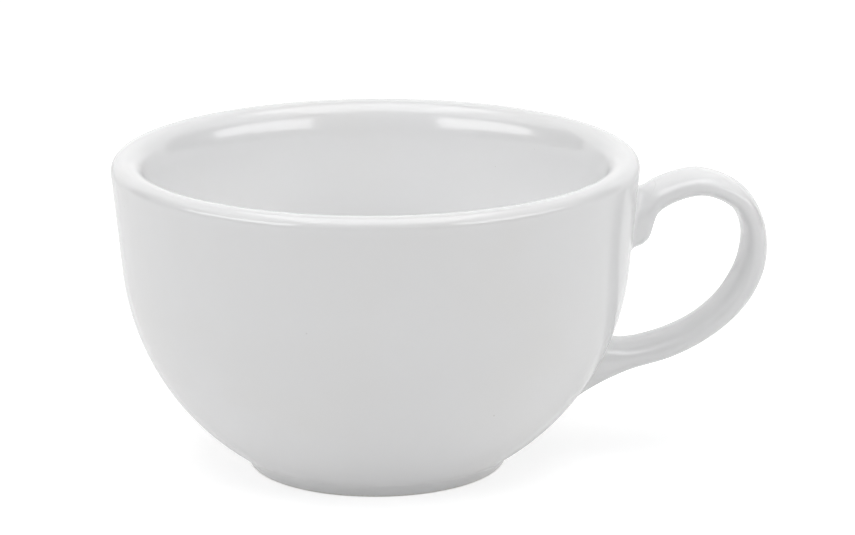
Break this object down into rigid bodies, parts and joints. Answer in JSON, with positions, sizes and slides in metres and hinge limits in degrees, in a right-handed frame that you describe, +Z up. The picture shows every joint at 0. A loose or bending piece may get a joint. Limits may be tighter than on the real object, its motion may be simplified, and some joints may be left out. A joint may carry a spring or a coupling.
{
  "type": "cup",
  "caption": "Wide round-bellied glazed cup with a rolled lip, a low foot ring and an ear-shaped finger handle, for hot drinks.",
  "frame": {"origin": "on the standing plane, under the middle of the whole outline, bowl and handle together", "axes": "+X from the bowl's axis towards the handle, +Y to the cup's side, +Z up; the bowl's axis is parallel to Z, 13.2 mm from the origin on the -X side"},
  "size_m": [0.1314, 0.105, 0.0632],
  "materials": {
    "white_glaze": "clear gloss glaze over a white body",
    "wiped_foot": "gloss glaze, wiped bare on the standing face"
  },
  "bodies": {
    "root": {"bowl": "white_glaze", "foot_ring": "wiped_foot", "handle": "white_glaze", "upper_slip_joint": "white_glaze", "lower_slip_joint": "white_glaze"}
  },
  "joints": []
}
